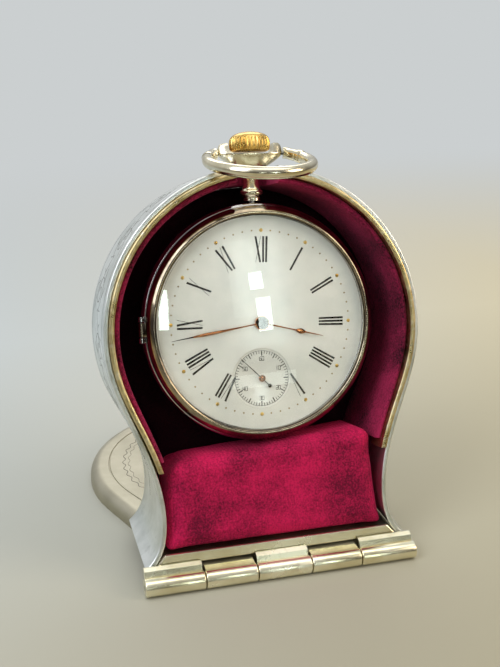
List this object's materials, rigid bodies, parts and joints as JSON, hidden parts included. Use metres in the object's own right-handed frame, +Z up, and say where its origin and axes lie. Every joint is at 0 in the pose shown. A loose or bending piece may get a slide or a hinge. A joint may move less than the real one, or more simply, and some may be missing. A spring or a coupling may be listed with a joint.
{
  "type": "travel watch",
  "caption": "Open-face pocket watch in a silver keyhole-shaped travelling case that leans back on its folded lid.",
  "frame": {"origin": "middle of the footprint, on the table that the folded lid lies on", "axes": "+Z up, +X to the right as seen from the front, +Y to the back; the dial faces -Y and leans back 14 degrees"},
  "size_m": [0.0668, 0.0844, 0.0871],
  "materials": {
    "silver": "polished sterling silver, lightly tarnished",
    "gilt": "worn gilding on silver",
    "velvet": "worn burgundy velvet",
    "watch_silver": "polished silver, warm",
    "gold": "polished yellow gold",
    "rose_gold": "rose gold",
    "enamel": "ivory white enamel with painted numerals",
    "steel": "polished steel",
    "brass": "brass",
    "nickel": "nickel silver",
    "blued_steel": "blued",
    "glass": "clear, domed"
  },
  "bodies": {
    "case": {"case_shell": "silver", "foot_plate": "silver", "front_sill": "silver", "rim_lip_left": "gilt", "rim_lip_right": "gilt", "case_knuckle_left": "silver", "case_knuckle_middle": "silver", "case_knuckle_right": "silver", "hinge_pin": "steel", "wall_lining": "velvet", "back_lining": "velvet", "neck_cushion": "velvet"},
    "lid": {"lid_shell": "silver", "lid_knuckle_left": "silver", "lid_knuckle_right": "silver", "lid_lining": "velvet"},
    "watch": {"watch_band": "watch_silver", "pendant": "watch_silver", "back_cover": "watch_silver", "dust_cover": "watch_silver", "bow_pin_left": "steel", "bow_pin_right": "steel", "bezel_hinge_pin": "steel", "main_plate": "nickel", "dial": "enamel", "barrel_bridge": "nickel", "train_bridge": "nickel", "balance_cock": "nickel", "pallet_bridge": "nickel", "barrel_bridge_screw": "steel", "train_bridge_screw": "steel", "balance_cock_screw": "steel"},
    "bow": {"bow": "watch_silver"},
    "bezel": {"bezel": "watch_silver", "crystal": "glass"},
    "winding_pinion": {"winding_pinion": "steel"},
    "crown": {"crown": "gold", "winding_stem": "steel"},
    "castle_wheel": {"castle_wheel": "steel"},
    "crown_wheel": {"crown_wheel": "steel"},
    "ratchet_wheel": {"ratchet_wheel": "steel", "barrel_arbor": "steel"},
    "click": {"click": "steel"},
    "mainspring_barrel": {"mainspring_barrel": "brass", "barrel_cover": "brass", "mainspring": "steel"},
    "centre_wheel": {"centre_wheel": "brass", "cannon_pinion": "steel", "minute_hand": "rose_gold"},
    "third_wheel": {"third_wheel": "brass"},
    "fourth_wheel": {"fourth_wheel": "brass", "seconds_hand": "rose_gold"},
    "escape_wheel": {"escape_wheel": "steel"},
    "pallet_fork": {"pallet_fork": "steel"},
    "balance_wheel": {"balance_wheel": "brass", "hairspring": "blued_steel"},
    "minute_wheel": {"minute_wheel": "brass"},
    "hour_wheel": {"hour_wheel": "brass", "hour_hand": "rose_gold"}
  },
  "joints": [
    {"name": "lid_hinge", "type": "hinge", "parent": "case", "child": "lid", "pos_m": [0, -0.04035, 0.0019], "axis": [-1, 0, 0], "range_deg": [0, 284]},
    {"name": "watch_lift_out", "type": "slide", "parent": "case", "child": "watch", "axis": [0, 0.9703, -0.2419], "range_m": [-0.03, 0]},
    {"name": "bow_swing", "type": "hinge", "parent": "watch", "child": "bow", "pos_m": [0.00061, -0.00967, 0.08236], "axis": [-0.9998, 0.0042, 0.0169], "range_deg": [0, 190]},
    {"name": "bezel_hinge", "type": "hinge", "parent": "watch", "child": "bezel", "pos_m": [-0.0251, -0.02155, 0.04961], "axis": [0.0175, 0.2419, 0.9701], "range_deg": [-75, 0]},
    {"name": "crown_turn", "type": "hinge", "parent": "watch", "child": "winding_pinion", "pos_m": [0.00032, -0.01371, 0.06616], "axis": [0.0175, 0.2419, 0.9701], "continuous": true},
    {"name": "crown_pull", "type": "slide", "parent": "winding_pinion", "child": "crown", "axis": [0.0175, 0.2419, 0.9701], "range_m": [0, 0.001]},
    {"name": "castle_wheel_slide", "type": "slide", "parent": "winding_pinion", "child": "castle_wheel", "axis": [0.0175, 0.2419, 0.9701], "range_m": [-0.0008, 0]},
    {"name": "crown_wheel_turn", "type": "hinge", "parent": "watch", "child": "crown_wheel", "pos_m": [0.00071, -0.01092, 0.0604], "axis": [0, -0.9703, 0.2419], "continuous": true},
    {"name": "ratchet_turn", "type": "hinge", "parent": "watch", "child": "ratchet_wheel", "pos_m": [-0.00825, -0.01261, 0.05362], "axis": [0, -0.9703, 0.2419], "continuous": true},
    {"name": "click_rock", "type": "hinge", "parent": "watch", "child": "click", "pos_m": [-0.00748, -0.01047, 0.06222], "axis": [0, -0.9703, 0.2419], "range_deg": [-12, 0]},
    {"name": "seconds_turn", "type": "hinge", "parent": "watch", "child": "fourth_wheel", "pos_m": [-0.00061, -0.02097, 0.03707], "axis": [0, 0.9703, -0.2419], "continuous": true},
    {"name": "minute_turn", "type": "hinge", "parent": "watch", "child": "centre_wheel", "pos_m": [0, -0.01816, 0.04831], "axis": [0, 0.9703, -0.2419], "continuous": true},
    {"name": "hour_turn", "type": "hinge", "parent": "watch", "child": "hour_wheel", "pos_m": [0, -0.02098, 0.04901], "axis": [0, 0.9703, -0.2419], "continuous": true},
    {"name": "third_wheel_turn", "type": "hinge", "parent": "watch", "child": "third_wheel", "pos_m": [0.00382, -0.01978, 0.04182], "axis": [0, 0.9703, -0.2419], "continuous": true},
    {"name": "escape_wheel_turn", "type": "hinge", "parent": "watch", "child": "escape_wheel", "pos_m": [-0.00537, -0.02212, 0.03432], "axis": [0, 0.9703, -0.2419], "continuous": true},
    {"name": "barrel_turn", "type": "hinge", "parent": "watch", "child": "mainspring_barrel", "pos_m": [-0.00825, -0.01659, 0.05461], "axis": [0, 0.9703, -0.2419], "continuous": true},
    {"name": "minute_wheel_turn", "type": "hinge", "parent": "watch", "child": "minute_wheel", "pos_m": [0.00251, -0.01975, 0.05268], "axis": [0, 0.9703, -0.2419], "continuous": true},
    {"name": "pallet_rock", "type": "hinge", "parent": "watch", "child": "pallet_fork", "pos_m": [-0.00856, -0.02145, 0.03697], "axis": [0, 0.9703, -0.2419], "range_deg": [-5, 5]},
    {"name": "balance_swing", "type": "hinge", "parent": "watch", "child": "balance_wheel", "pos_m": [-0.01196, -0.01905, 0.03938], "axis": [0, 0.9703, -0.2419], "range_deg": [-270, 270]}
  ],
  "couplings": [
    {"joint": "castle_wheel_slide", "follows": "crown_pull", "ratio": -0.8},
    {"joint": "crown_wheel_turn", "follows": "crown_turn", "ratio": 0.3},
    {"joint": "ratchet_turn", "follows": "crown_turn", "ratio": -0.19286},
    {"joint": "minute_turn", "follows": "seconds_turn", "ratio": 0.016667},
    {"joint": "hour_turn", "follows": "seconds_turn", "ratio": 0.0013889},
    {"joint": "third_wheel_turn", "follows": "seconds_turn", "ratio": -0.13333},
    {"joint": "escape_wheel_turn", "follows": "seconds_turn", "ratio": -10},
    {"joint": "barrel_turn", "follows": "seconds_turn", "ratio": -0.0020833},
    {"joint": "minute_wheel_turn", "follows": "seconds_turn", "ratio": -0.0055556}
  ]
}
